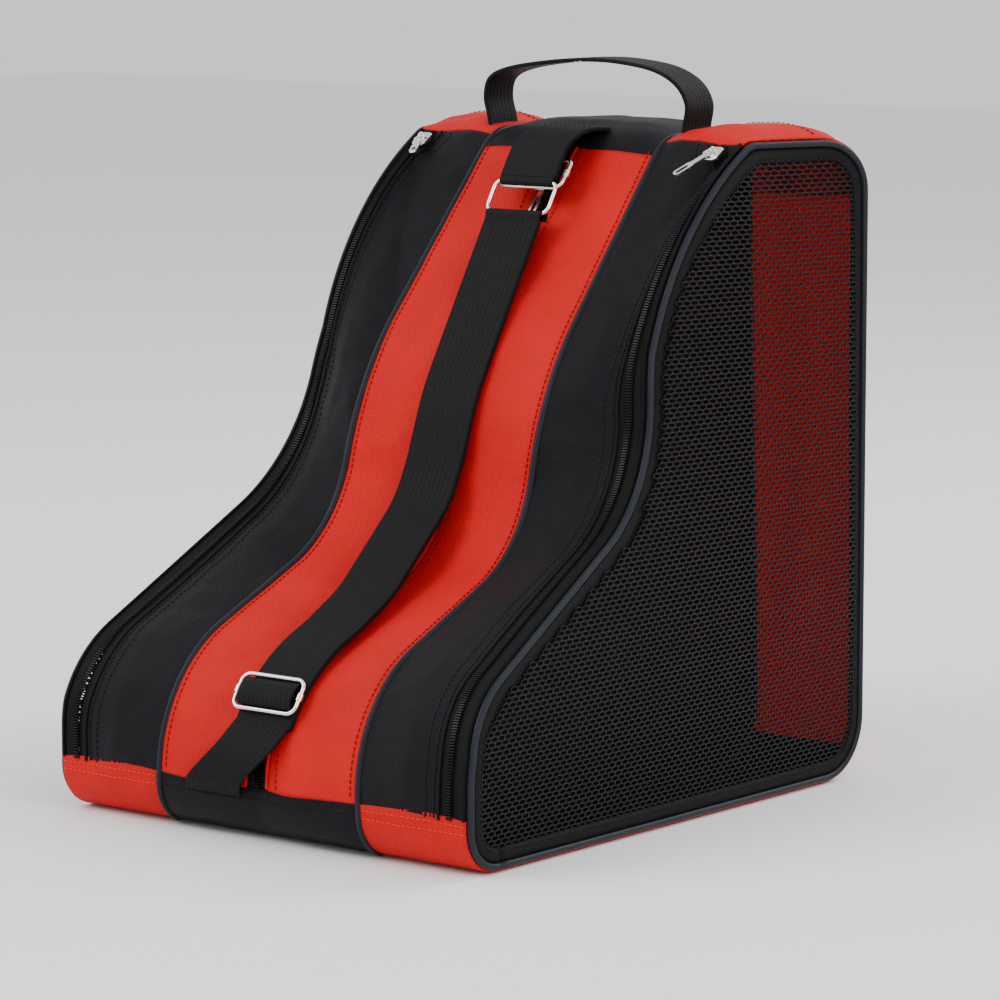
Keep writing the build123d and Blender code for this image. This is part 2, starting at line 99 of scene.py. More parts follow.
def rotate(vector, angle):
    return np.array([vector[0] * math.cos(angle) - vector[1] * math.sin(angle),
                     vector[0] * math.sin(angle) + vector[1] * math.cos(angle)])


def outline(form):
    """Points and outward normals of a side outline in (Y, Z), from under the toe and up over the top."""
    nose, nose_turn, instep, instep_radius, instep_turn, link, shaft_radius, shaft_turn, shaft, brow = form
    slope = nose_turn - instep_turn
    brow_start = slope + shaft_turn
    fall = lambda degrees: math.sin(math.radians(degrees))
    level = lambda degrees: math.cos(math.radians(degrees))
    rise = (TOE_RADIUS + nose * fall(nose_turn) + instep * level(nose_turn)
            + instep_radius * (fall(nose_turn) - fall(slope)) + link * level(slope)
            + shaft_radius * (fall(brow_start) - fall(slope)) + shaft * level(brow_start)
            + brow * (1 - fall(brow_start)))
    steps = [(TOE_RADIUS, -90), (360 - rise, 0), (nose, -nose_turn), (instep, 0), (instep_radius, instep_turn),
             (link, 0), (shaft_radius, -shaft_turn), (shaft, 0), (brow, brow_start - 90)]
    point, heading = np.array([TOE_RADIUS, 0.0]), math.pi
    points, normals = [point], [(0.0, -1.0)]

    def straight(length, count):
        nonlocal point
        ahead = np.array([math.cos(heading), math.sin(heading)])
        for step in range(1, count + 1):
            points.append(point + ahead * length * step / count)
            normals.append((-ahead[1], ahead[0]))
        point = points[-1]

    def arc(radius, turn, count):
        nonlocal point, heading
        left = np.array([-math.sin(heading), math.cos(heading)])
        centre = point + left * radius * (1 if turn > 0 else -1)
        for step in range(1, count + 1):
            angle = math.radians(turn) * step / count
            points.append(centre + rotate(point - centre, angle))
            normals.append(tuple(rotate(left, angle)))
        heading += math.radians(turn)
        point = points[-1]

    for (size, turn), count in zip(steps, SAMPLES):
        if turn:
            arc(size, turn, count)
        else:
            straight(size, count)
    straight(355 - TOP_RADIUS - point[0], SAMPLES[9])
    arc(TOP_RADIUS, -90, SAMPLES[10])
    straight(point[1] - HEEL_RADIUS, SAMPLES[11])
    arc(HEEL_RADIUS, -90, SAMPLES[12])
    straight(point[0] - TOE_RADIUS, SAMPLES[13])
    return np.array(points) * MM + np.array([TOE, 0.0]), np.array(normals)


OUTER, SEAM, MIDDLE = outline(OUTER_FORM), outline(SEAM_FORM), outline(MIDDLE_FORM)


def on(curve, place):
    """Point and outward normal at a sample number of an outline; it may lie between two samples."""
    place = place % COUNT
    low = int(place)
    share = place - low
    return lerp(curve[0][low], curve[0][low + 1], share), lerp(curve[1][low], curve[1][low + 1], share)


def crossing(curve, axis, value, first, last):
    """The sample number at which an outline passes a coordinate."""
    for low in range(first, last):
        a, b = curve[0][low % COUNT][axis], curve[0][low % COUNT + 1][axis]
        if a != b and (a - value) * (b - value) <= 0:
            return low + (value - a) / (b - a)
    return last


FRONT_EDGE = [(z, y) for y, z in OUTER[0][SAMPLES[0]:TOP_LINE + 1]]


def outer_x(y, z):
    """Half width of the bag at its side panels."""
    front = float(np.interp(z, [p[0] for p in FRONT_EDGE], [p[1] for p in FRONT_EDGE]))
    half = lerp(0.140, 0.113, clamp((z - 0.06) / 0.19))
    return 0.141 - (0.141 - half) * (BACK - y) / (BACK - front)


def seam_x(z):
    return lerp(0.070, 0.060, z / HEIGHT)


# ---------------------------------------------------------------- surfaces

def wrinkle(point, size, seed):
    """Soft random folds, about -1 to 1."""
    return noise.noise(Vector((point[0] / size + seed, point[1] / size, point[2] / size * 1.3 - seed)))


def gusset(place, share, side, lift=0.0, puff=True):
    """A point of a compartment's outside: share 0 at the inner seam and 1 at the side panel."""
    (sy, sz), seam_normal = on(SEAM, place)
    (oy, oz), outer_normal = on(OUTER, place)
    base = lerp(np.array([seam_x(sz), sy, sz]), np.array([outer_x(oy, oz), oy, oz]), share)
    normal = lerp(seam_normal, outer_normal, share)
    normal = normal / np.linalg.norm(normal)
    out = lift
    if puff:
        hump = 4 * share * (1 - share)
        place = place % COUNT
        if place >= BASE_LINE or place < 6:
            rise = 0.0
        elif TOP_LINE - 8 <= place <= BACK_LINE:
            rise = lerp(3.2, 7.0, clamp((place - TOP_LINE + 8) / 14)) * MM
        elif place > BACK_LINE:
            rise = lerp(2.0, 7.0, clamp((BACK_LINE + 14 - place) / 14)) * MM * clamp((HEEL_ARC + 6 - place) / 20)
        else:
            rise = 3.2 * MM * clamp((place - 6) / 18)
        seed = 3.0 if side > 0 else 9.0
        ripple = 1.5 * MM * wrinkle(base, 0.026, seed) + 0.8 * MM * wrinkle(base, 0.011, seed + 5)
        if place > TOP_ARC and place < BASE_LINE:
            fold = math.sin(base[0] * 120 + 1.6 * math.sin(base[2] * 9 + seed)) * 3.4 * MM
            ripple *= 0.4
            ripple += fold * clamp((place - TOP_ARC) / 10) * clamp((HEEL_ARC - place) / 8)
        calm = clamp((BASE_LINE - place) / 6) if place > 100 else clamp((place - 6) / 8)
        taut = clamp(((1 - share) * FRONT_WIDTH - TAPE_IN) / SLACK_RUN)
        if place > TOP_LINE - 8:
            taut = lerp(taut, 1.0, clamp((place - TOP_LINE + 8) / 14))
        out += (hump * rise + min(1.0, 2.4 * hump) * ripple * calm) * taut
    return Vector((side * base[0], base[1] + normal[0] * out, base[2] + normal[1] * out))


def gusset_width(place):
    a, b = gusset(place, 0, 1, puff=False), gusset(place, 1, 1, puff=False)
    return (b - a).length


def centre(place, share, lift=0.0, puff=True):
    """A point of the centre's outside: share -1 at the left seam and 1 at the right."""
    (sy, sz), seam_normal = on(SEAM, place)
    (my, mz), middle_normal = on(MIDDLE, place)
    x = share * seam_x(sz)
    blend = clamp((abs(x) - 0.024) / 0.046)
    y, z = lerp(my, sy, blend), lerp(mz, sz, blend)
    normal = lerp(middle_normal, seam_normal, blend)
    out = lift
    if puff:
        place = place % COUNT
        quiet = 0.0 if place >= BASE_LINE or place < 6 else 1.0
        half = 4 * abs(share) * (1 - abs(share))
        rise = 1.6 * MM * half
        if TOP_LINE - 8 <= place <= BACK_LINE:
            swell = clamp((place - TOP_LINE + 8) / 14)
            rise = lerp(rise, 7 * MM * (1 - share ** 4), swell * swell * (3 - 2 * swell))
        out += quiet * (rise + min(1.0, 2 * half) * 0.9 * MM * wrinkle((x, y, z), 0.02, 21.0))
    return Vector((x, y + normal[0] * out, z + normal[1] * out))


# ---------------------------------------------------------------- mesh helpers

def add(name, verts, faces, uvs, material, body, replaces=(), smooth=True):
    mesh = bpy.data.meshes.new(name)
    mesh.from_pydata([tuple(v) for v in verts], [], faces)
    layer = mesh.uv_layers.new(name="UVMap")
    corners = np.array([uvs[loop.vertex_index] for loop in mesh.loops], dtype=float).ravel()
    layer.data.foreach_set("uv", corners)
    mesh.materials.append(material)
    mesh.polygons.foreach_set("use_smooth", [smooth] * len(mesh.polygons))
    mesh.update()
    piece = bpy.data.objects.new(name, mesh)
    bpy.context.scene.collection.objects.link(piece)
    if body:
        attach(piece, body)
    if replaces:
        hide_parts(*replaces)
    return piece


def thicken(piece, thickness, offset=-1.0):
    solid = piece.modifiers.new("cloth", "SOLIDIFY")
    solid.thickness = thickness
    solid.offset = offset
    return piece


def grid(rows):
    """Vertices, faces and UVs in metres of a sheet given as rows of points, facing outwards."""
    count, width = len(rows), len(rows[0])
    verts = [point for row in rows for point in row]
    faces = []
    for i in range(count - 1):
        for j in range(width - 1):
            a = i * width + j
            faces.append((a, a + 1, a + width + 1, a + width))
    middle = width // 2
    along, uvs = 0.0, []
    for i, row in enumerate(rows):
        if i:
            along += (row[middle] - rows[i - 1][middle]).length
        across = [0.0]
        for j in range(1, width):
            across.append(across[-1] + (row[j] - row[j - 1]).length)
        uvs += [(value - across[middle], along) for value in across]
    return verts, faces, uvs


def facing_out(verts, faces, inside):
    """The faces, turned so that most of them face away from a point inside."""
    vote = 0.0
    for face in faces[:: max(1, len(faces) // 200)]:
        a, b, c = (Vector(verts[k]) for k in face[:3])
        vote += (b - a).cross(c - a).normalized().dot((a - inside).normalized())
    return faces if vote > 0 else [face[::-1] for face in faces]


def panel(name, rows, material, thickness=CLOTH, body="bag"):
    verts, faces, uvs = grid(rows)
    inside = Vector((verts[len(verts) // 2][0] * 0.8, BACK - 0.09, 0.15))
    faces = facing_out(verts, faces, inside)
    return thicken(add("cloth_" + name, verts, faces, uvs, material, body, (name,)), thickness)


def gusset_rows(side, starts, ends, shares, rows, lift=0.0, puff=True):
    """Rows between two ends; each end is a sample number at the seam and one at the side panel."""
    table = []
    for i in range(rows + 1):
        row = []
        for share in shares:
            place = lerp(lerp(starts[0], starts[1], share), lerp(ends[0], ends[1], share), i / rows)
            row.append(gusset(place, share, side, lift, puff))
        table.append(row)
    return table


def centre_rows(starts, ends, shares, rows, lift=0.0, puff=True):
    table = []
    for i in range(rows + 1):
        row = []
        for share in shares:
            edge = abs(share)
            place = lerp(lerp(starts[0], starts[1], edge), lerp(ends[0], ends[1], edge), i / rows)
            row.append(centre(place, share, lift, puff))
        table.append(row)
    return table


def tube(name, path, radius, material, replaces=(), closed=False, body="bag", sides=10):
    """A round cord along a path."""
    count = len(path)
    verts, faces, uvs = [], [], []
    along = 0.0
    previous = None
    for i, point in enumerate(path):
        ahead = path[(i + 1) % count] if closed or i < count - 1 else point
        behind = path[i - 1] if closed or i else point
        tangent = (ahead - behind).normalized()
        normal = Vector((1, 0, 0)) if previous is None else previous
        normal = (normal - tangent * normal.dot(tangent)).normalized()
        previous = normal
        other = tangent.cross(normal)
        if i:
            along += (point - path[i - 1]).length
        for k in range(sides):
            angle = 2 * math.pi * k / sides
            verts.append(point + (normal * math.cos(angle) + other * math.sin(angle)) * radius)
            uvs.append((k / sides * 2 * math.pi * radius, along))
    for i in range(count if closed else count - 1):
        a, b = i * sides, ((i + 1) % count) * sides
        for k in range(sides):
            n = (k + 1) % sides
            faces.append((a + k, b + k, b + n, a + n))
    return add(name, verts, [f[::-1] for f in faces], uvs, material, body, replaces)


def bricks(name, frames, size, material, body="bag", replaces=(), taper=0.7):
    """Many small blocks: each frame is (point, along, up), size is (along, across, up)."""
    verts, faces, uvs = [], [], []
    for point, along, up in frames:
        along = along.normalized()
        across = up.cross(along).normalized()
        up = along.cross(across)
        start = len(verts)
        for level, share in ((-0.5, 1.0), (0.5, taper)):
            for sx, sy in ((-1, -1), (1, -1), (1, 1), (-1, 1)):
                verts.append(point + along * sx * size[0] / 2 * share + across * sy * size[1] / 2 * share
                             + up * level * size[2])
                uvs.append((sx * size[0], sy * size[1]))
        s = start
        faces += [(s, s + 3, s + 2, s + 1), (s + 4, s + 5, s + 6, s + 7)]
        faces += [(s + k, s + (k + 1) % 4, s + 4 + (k + 1) % 4, s + 4 + k) for k in range(4)]
    return add(name, verts, faces, uvs, material, body, replaces, smooth=False)


def spaced(path, pitch):
    """(point, direction) at even steps along a path."""
    found, left = [], pitch / 2
    for a, b in zip(path, path[1:]):
        length = (b - a).length
        while length > 1e-9 and left <= length:
            found.append((a.lerp(b, left / length), (b - a).normalized()))
            left += pitch
        left -= length
    return found


def stitches(name, lines, material, up_from, body="bag", pitch=3.4 * MM, length=2.4 * MM):
    """Rows of stitches along paths that lie on the cloth."""
    frames = []
    for path in lines:
        for point, along in spaced(path, pitch):
            up = point - up_from(point)
            frames.append((point, along, up))
    return bricks(name, frames, (length, 0.55 * MM, 0.45 * MM), material, body)


def ribbon(path, width_dirs, width, lift=0.0, across=8):
    """Rows of a band of webbing: each path point is its middle."""
    rows = []
    for i, point in enumerate(path):
        side = width_dirs[i] if isinstance(width_dirs, list) else width_dirs
        ahead = path[min(i + 1, len(path) - 1)] - path[max(i - 1, 0)]
        up = side.cross(ahead).normalized()
        rows.append([point + side * width * (k / across - 0.5) + up * lift for k in range(across + 1)])
    return rows


def rounded(points, radii, step=2.5 * MM):
    """A path of lines with rounded corners, in (Y, Z)."""
    points = [np.array(p, dtype=float) for p in points]
    path = [points[0]]
    for before, corner, after, radius in zip(points, points[1:], points[2:], radii):
        a = (before - corner) / np.linalg.norm(before - corner)
        b = (after - corner) / np.linalg.norm(after - corner)
        half = math.acos(max(-1.0, min(1.0, float(a @ b)))) / 2
        reach = radius / math.tan(half)
        middle = corner + (a + b) / np.linalg.norm(a + b) * radius / math.sin(half)
        start, end = corner + a * reach, corner + b * reach
        first, last = start - middle, end - middle
        sweep = math.atan2(first[0] * last[1] - first[1] * last[0], float(first @ last))
        path.append(start)
        count = max(3, int(abs(sweep) * radius / step))
        path += [middle + rotate(first, sweep * k / count) for k in range(1, count + 1)]
    path.append(points[-1])
    even = [path[0]]
    for a, b in zip(path, path[1:]):
        count = max(1, int(np.linalg.norm(b - a) / step))
        even += [lerp(a, b, k / count) for k in range(1, count + 1)]
    return even


def smooth_path(points, count):
    """A soft curve through 3-D points."""
    points = [np.array(p, dtype=float) for p in points]
    full = [2 * points[0] - points[1]] + points + [2 * points[-1] - points[-2]]
    path = []
    for k in range(len(points) - 1):
        a, b, c, d = full[k:k + 4]
        for i in range(count):
            t = i / count
            path.append(Vector(0.5 * (2 * b + (c - a) * t + (2 * a - 5 * b + 4 * c - d) * t * t
                                      + (3 * b - a - 3 * c + d) * t ** 3)))
    path.append(Vector(points[-1]))
    return path


# ---------------------------------------------------------------- materials

def new_material(name, color, roughness, metallic=0.0, sheen=0.0):
    material = bpy.data.materials.new(name)
    material.use_nodes = True
    shader = material.node_tree.nodes["Principled BSDF"]
    shader.inputs["Base Color"].default_value = (*color, 1)
    shader.inputs["Roughness"].default_value = roughness
    shader.inputs["Metallic"].default_value = metallic
    shader.inputs["Sheen Weight"].default_value = sheen
    shader.inputs["Sheen Roughness"].default_value = 0.4
    shader.inputs["Specular IOR Level"].default_value = 0.5 if metallic else 0.14
    return material, material.node_tree, shader


def weave(tree, pitch_u, pitch_v, twill=0.0):
    """Over-and-under threads from the UVs, 0 to 1."""
    nodes, links = tree.nodes, tree.links
    uv = nodes.new("ShaderNodeTexCoord")
    waves = []
    for axis, pitch in (("X", pitch_u), ("Y", pitch_v)):
        mapping = nodes.new("ShaderNodeMapping")
        mapping.inputs["Rotation"].default_value = (0, 0, twill)
        links.new(uv.outputs["UV"], mapping.inputs["Vector"])
        wave = nodes.new("ShaderNodeTexWave")
        wave.bands_direction = axis
        wave.inputs["Scale"].default_value = math.pi / 10 / pitch
        wave.inputs["Distortion"].default_value = 0.6
        wave.inputs["Detail Scale"].default_value = 3
        links.new(mapping.outputs["Vector"], wave.inputs["Vector"])
        waves.append(wave.outputs["Fac"])
    mix = nodes.new("ShaderNodeMath")
    mix.operation = "MULTIPLY"
    links.new(waves[0], mix.inputs[0])
    links.new(waves[1], mix.inputs[1])
    return mix.outputs[0]


def woven(name, color, dark, roughness, sheen, pitch_u, pitch_v, depth, twill=0.0, blotch=0.25):
    """Cloth: threads in colour and relief, soft blotches of wear."""
    material, tree, shader = new_material(name, color, roughness, sheen=sheen)
    nodes, links = tree.nodes, tree.links
    threads = weave(tree, pitch_u, pitch_v, twill)
    tint = nodes.new("ShaderNodeMix")
    tint.data_type = "RGBA"
    tint.inputs[6].default_value = (*dark, 1)
    tint.inputs[7].default_value = (*color, 1)
    spots = nodes.new("ShaderNodeTexNoise")
    spots.inputs["Scale"].default_value = 22
    spots.inputs["Detail"].default_value = 6
    place = nodes.new("ShaderNodeTexCoord")
    links.new(place.outputs["Object"], spots.inputs["Vector"])
    share = nodes.new("ShaderNodeMath")
    share.operation = "MULTIPLY_ADD"
    links.new(spots.outputs["Fac"], share.inputs[0])
    share.inputs[1].default_value = blotch * 2
    share.inputs[2].default_value = 0.35 - blotch
    total = nodes.new("ShaderNodeMath")
    total.operation = "MULTIPLY_ADD"
    total.use_clamp = True
    links.new(threads, total.inputs[0])
    total.inputs[1].default_value = 0.8
    links.new(share.outputs[0], total.inputs[2])
    links.new(total.outputs[0], tint.inputs["Factor"])
    links.new(tint.outputs[2], shader.inputs["Base Color"])
    bump = nodes.new("ShaderNodeBump")
    bump.inputs["Strength"].default_value = 0.7
    bump.inputs["Distance"].default_value = depth
    links.new(threads, bump.inputs["Height"])
    links.new(bump.outputs["Normal"], shader.inputs["Normal"])
    return material


RED = woven("red_oxford", (0.80, 0.006, 0.008), (0.26, 0.001, 0.002), 0.6, 0.0, 1.1 * MM, 1.0 * MM, 0.35 * MM, 0.4)
BLACK = woven("black_oxford", (0.0055, 0.0058, 0.0085), (0.0008, 0.0008, 0.0014), 0.55, 0.01, 1.1 * MM, 1.0 * MM, 0.4 * MM, 0.4)
WEBBING = woven("black_webbing", (0.0050, 0.0052, 0.0060), (0.0004, 0.0004, 0.0006), 0.6, 0.0, 3.2 * MM, 1.1 * MM, 0.4 * MM)
TAPE = woven("zip_tape", (0.0035, 0.0035, 0.0042), (0.0006, 0.0006, 0.0008), 0.65, 0.0, 1.0 * MM, 0.7 * MM, 0.15 * MM)
NET = woven("black_net", (0.0035, 0.0037, 0.0048), (0.001, 0.001, 0.0014), 0.42, 0.0, 0.5 * MM, 0.5 * MM, 0.05 * MM)
PIPING = woven("piping_vinyl", (0.020, 0.024, 0.032), (0.006, 0.008, 0.011), 0.35, 0.0, 2.0 * MM, 1.4 * MM, 0.12 * MM)


def translucent(material, color, share):
    """Lets light through thin cloth."""
    nodes, links = material.node_tree.nodes, material.node_tree.links
    glow = nodes.new("ShaderNodeBsdfTranslucent")
    glow.inputs["Color"].default_value = (*color, 1)
    mix = nodes.new("ShaderNodeMixShader")
    mix.inputs["Fac"].default_value = share
    links.new(nodes["Principled BSDF"].outputs["BSDF"], mix.inputs[1])
    links.new(glow.outputs["BSDF"], mix.inputs[2])
    links.new(mix.outputs["Shader"], nodes["Material Output"].inputs["Surface"])
    return material


THIN_RED = woven("thin_red_oxford", (0.72, 0.006, 0.005), (0.30, 0.002, 0.002), 0.45, 0.0, 1.1 * MM, 1.0 * MM, 0.3 * MM, 0.4)
translucent(THIN_RED, (0.95, 0.02, 0.015), 0.35)
COIL, _, _ = new_material("zip_nylon", (0.006, 0.006, 0.007), 0.3)
ORANGE, _, _ = new_material("orange_thread", (0.80, 0.035, 0.004), 0.6)
DARK_RED, _, _ = new_material("red_thread", (0.30, 0.002, 0.002), 0.6)
BLACK_THREAD, _, _ = new_material("black_thread", (0.010, 0.011, 0.014), 0.5)
GREY_THREAD, _, _ = new_material("grey_thread", (0.22, 0.23, 0.25), 0.6)


def nickel():
    """Plated metal with faint scratches."""
    material, tree, shader = new_material("nickel_plate", (0.80, 0.78, 0.74), 0.18, 1.0)
    scratch = tree.nodes.new("ShaderNodeTexNoise")
    scratch.inputs["Scale"].default_value = 900
    ramp = tree.nodes.new("ShaderNodeMapRange")
    ramp.inputs["To Min"].default_value = 0.10
    ramp.inputs["To Max"].default_value = 0.30
    tree.links.new(scratch.outputs["Fac"], ramp.inputs["Value"])
    tree.links.new(ramp.outputs["Result"], shader.inputs["Roughness"])
    return material


NICKEL = nickel()
for node in ("right_zip_slider", "left_zip_slider", "right_zip_pull", "left_zip_pull", "centre_zip_slider",
             "centre_zip_pull", "strap_adjuster", "strap_ring", "spare_adjuster"):
    metal = frame["nodes"][node]
    metal.data.materials.clear()
    metal.data.materials.append(NICKEL)

# ---------------------------------------------------------------- side compartments

ALL = np.linspace(0, 1, 29)
ZIP_LOW = (crossing(SEAM, 1, PATCH_TOP, 0, TOP_LINE), crossing(OUTER, 1, PATCH_TOP, 0, TOP_LINE))
ZIP_HIGH = tuple(crossing(curve, 0, TOP_FRONT, TOP_LINE - SAMPLES[8], TOP_ARC) for curve in (SEAM, OUTER))
TOP_END = (crossing(SEAM, 1, TOP_BACK, BACK_LINE, HEEL_ARC), crossing(OUTER, 1, TOP_BACK, BACK_LINE, HEEL_ARC))
BACK_END = (crossing(SEAM, 1, BASE_TOP, HEEL_ARC, BASE_LINE), crossing(OUTER, 1, BASE_TOP, HEEL_ARC, BASE_LINE))
PATCH_START = tuple(crossing(curve, 0, PATCH_BACK, BASE_LINE, COUNT) - COUNT for curve in (SEAM, OUTER))


def zip_share(place, inset):
    return 1 - inset / gusset_width(place)


def zip_line(side, inset, lift, low=ZIP_LOW[1], high=ZIP_HIGH[1], count=260):
    """A path at a fixed distance in from the side panel's edge."""
    path = []
    for i in range(count + 1):
        place = lerp(low, high, i / count)
        path.append(gusset(place, zip_share(place, inset), side, lift))
    return path


def zip_band(side, inner, outer, lift, count=260, across=3):
    rows = []
    for i in range(count + 1):
        place = lerp(ZIP_LOW[1], ZIP_HIGH[1], i / count)
        rows.append([gusset(place, zip_share(place, lerp(inner, outer, k / across)), side, lift)
                     for k in range(across + 1)])
    return rows


def beneath(curve):
    """A function that gives the point inwards of another one, along the nearest normal of an outline."""
    def inwards(point):
        gaps = (curve[0][:, 0] - point.y) ** 2 + (curve[0][:, 1] - point.z) ** 2
        normal = curve[1][int(np.argmin(gaps))]
        return point - Vector((0, normal[0], normal[1]))
    return inwards


def inset_ring(inset, lift):
    """A closed path on the right side panel, inset from its edge."""
    path = []
    for index in range(COUNT):
        (y, z), (ny, nz) = on(OUTER, index)
        y, z = y - ny * inset, z - nz * inset
        path.append(Vector((outer_x(y, z) + lift, y, z)))
    return path


def mirrored(path, side):
    return [Vector((side * p.x, p.y, p.z)) for p in path]


def side_bulge(y, z):
    """How far the stretched net stands out."""
    return 2.0 * MM * clamp((z - 0.01) / 0.1) * clamp((HEIGHT - z) / 0.1)


def net_cells():
    """Hexagonal rings of the net inside the hem, as (y, z) corners."""
    width, height, strand = 5.6 * MM, 3.4 * MM, 0.55 * MM
    edge = np.array([(p.y, p.z) for p in inset_ring(11 * MM, 0.0)])
    rows, lines = [], 0
    z = 0.008
    while z < HEIGHT:
        y = TOE + (width / 2 if lines % 2 else 0.0)
        while y < BACK:
            rows.append((y, z))
            y += width
        z += height * 0.75
        lines += 1
    cells = []
    for y, z in rows:
        inside = False
        for a, b in zip(edge, np.roll(edge, -1, axis=0)):
            if (a[1] > z) != (b[1] > z) and y < a[0] + (z - a[1]) * (b[0] - a[0]) / (b[1] - a[1]):
                inside = not inside
        if inside:
            cells.append((y, z))
    ring = [(0, 0.5), (0.5, 0.25), (0.5, -0.25), (0, -0.5), (-0.5, -0.25), (-0.5, 0.25)]
    shrink = (1 - 2 * strand / width, 1 - 2 * strand / height)
    outer = [(a * width, b * height) for a, b in ring]
    inner = [(a * shrink[0], b * shrink[1]) for a, b in outer]
    return cells, outer, inner


CELLS, HEX, HOLE = net_cells()


def build_side(label, side):
    name = lambda part: f"{label}_{part}"
    inward = beneath(OUTER)
    # front panel, with its inner edge on the seam and its outer edge under the zip
    rows = []
    for i in range(151):
        row = []
        for k in range(25):
            wide = k / 24
            place = lerp(lerp(ZIP_LOW[0], ZIP_LOW[1], wide), lerp(ZIP_HIGH[0], ZIP_HIGH[1], wide), i / 150)
            row.append(gusset(place, wide * zip_share(place, TAPE_IN - 1 * MM), side))
        rows.append(row)
    panel(name("front_panel"), rows, BLACK)
    panel(name("toe_patch"), gusset_rows(side, PATCH_START, ZIP_LOW, ALL, 30), RED)
    panel(name("top_panel"), gusset_rows(side, ZIP_HIGH, TOP_END, ALL, 44), RED)
    panel(name("back_panel"), gusset_rows(side, TOP_END, BACK_END, ALL, 90), THIN_RED)
    base = gusset_rows(side, BACK_END, (PATCH_START[0] + COUNT, PATCH_START[1] + COUNT), ALL, 40)
    strip = panel(name("base_strip"), base, RED)
    strip.data.materials.append(BLACK)
    strip.modifiers["cloth"].material_offset = 1
    # zip
    tapes = (("zip_inner_tape", TAPE_IN, COIL_IN - 1 * MM), ("zip_outer_tape", COIL_OUT + 1 * MM, 0.0))
    for part, inner, outer in tapes:
        panel(name(part), zip_band(side, inner, outer, -0.2 * MM), TAPE, 0.8 * MM)
    coil_path = zip_line(side, (COIL_OUT + COIL_IN) / 2, 0.4 * MM)
    teeth = [(point, along, point - inward(point)) for point, along in spaced(coil_path, 1.5 * MM)]
    bricks("teeth_" + name("zip_coil"), teeth, (1.0 * MM, 4.2 * MM, 1.5 * MM), COIL, replaces=(name("zip_coil"),),
           taper=0.75)
    fold = zip_line(side, TAPE_IN - 0.6 * MM, 0.3 * MM)
    tube("rolled_edge_" + label, fold, 0.9 * MM, BLACK, sides=8)
    edge = zip_line(side, 1.0 * MM, 0.2 * MM)
    tube("tape_edge_" + label, edge, 0.8 * MM, TAPE, sides=8)
    lines = [zip_line(side, inset, 0.35 * MM) for inset in (20.5 * MM, 26 * MM)]
    stitches("stitches_front_" + label, lines, BLACK_THREAD, inward)
    # toe patch stitching
    rows = []
    for drop in (3 * MM, 7 * MM):
        low = [crossing(curve, 1, PATCH_TOP - drop, 0, TOP_LINE) for curve in (SEAM, OUTER)]
        rows.append([gusset(lerp(low[0], low[1], s), s, side, 0.4 * MM) for s in np.linspace(0.03, 0.97, 60)])
    stitches("stitches_toe_" + label, rows, ORANGE, inward)
    top_rows = []
    for back in (4 * MM, 8 * MM):
        place = [crossing(curve, 0, TOP_FRONT + back, TOP_LINE, TOP_ARC) for curve in (SEAM, OUTER)]
        top_rows.append([gusset(lerp(place[0], place[1], s), s, side, 0.4 * MM) for s in np.linspace(0.04, 0.96, 50)])
    stitches("stitches_top_" + label, top_rows, DARK_RED, inward)
    # piping and hem
    ring = mirrored(inset_ring(3 * MM, 1 * MM), side)
    tube("cord_" + name("outer_piping"), ring, 2.0 * MM, PIPING, (name("outer_piping"),), closed=True)
    seam_path = []
    for index in range(COUNT):
        (y, z), (ny, nz) = on(SEAM, index)
        seam_path.append(Vector((side * seam_x(z), y - ny * 0.4 * MM, max(z - nz * 0.4 * MM, 2.2 * MM))))
    tube("cord_" + name("seam_piping"), seam_path, 1.9 * MM, PIPING, (name("seam_piping"),),
         closed=True)
    outer_row, inner_row = inset_ring(4.5 * MM, 0.9 * MM), inset_ring(13 * MM, 0.9 * MM)
    hem_rows = []
    for a, b in zip(outer_row + outer_row[:1], inner_row + inner_row[:1]):
        hem_rows.append([a.lerp(b, k / 4) + Vector((1.2 * MM * math.sin(math.pi * k / 4), 0, 0)) for k in range(5)])
    hem_rows = [mirrored(row, side) for row in hem_rows]
    verts, faces, uvs = grid(hem_rows)
    faces = facing_out(verts, faces, Vector((0, 0, 0.15)))
    thicken(add("hem_" + label, verts, faces, uvs, TAPE, "bag", (name("side_binding"),)), 1.0 * MM)
    hem_line = mirrored(inset_ring(11 * MM, 2.0 * MM), side)
    stitches("stitches_hem_" + label, [hem_line + hem_line[:1]], BLACK_THREAD, lambda p: p - Vector((side, 0, 0)))
    # net
    verts, faces, uvs = [], [], []
    for y, z in CELLS:
        start = len(verts)
        for shape in (HEX, HOLE):
            for dy, dz in shape:
                py, pz = y + dy, z + dz
                verts.append(Vector((side * (outer_x(py, pz) + 0.9 * MM + side_bulge(py, pz)), py, pz)))
                uvs.append((py, pz))
        for k in range(6):
            n = (k + 1) % 6
            faces.append((start + k, start + n, start + 6 + n, start + 6 + k))
    if side > 0:
        faces = [face[::-1] for face in faces]
    faces = facing_out(verts, faces, Vector((0, 0, 0.15)))
    thicken(add("net_" + label, verts, faces, uvs, NET, "bag", (name("side_net"),)), 0.7 * MM, 0.0)
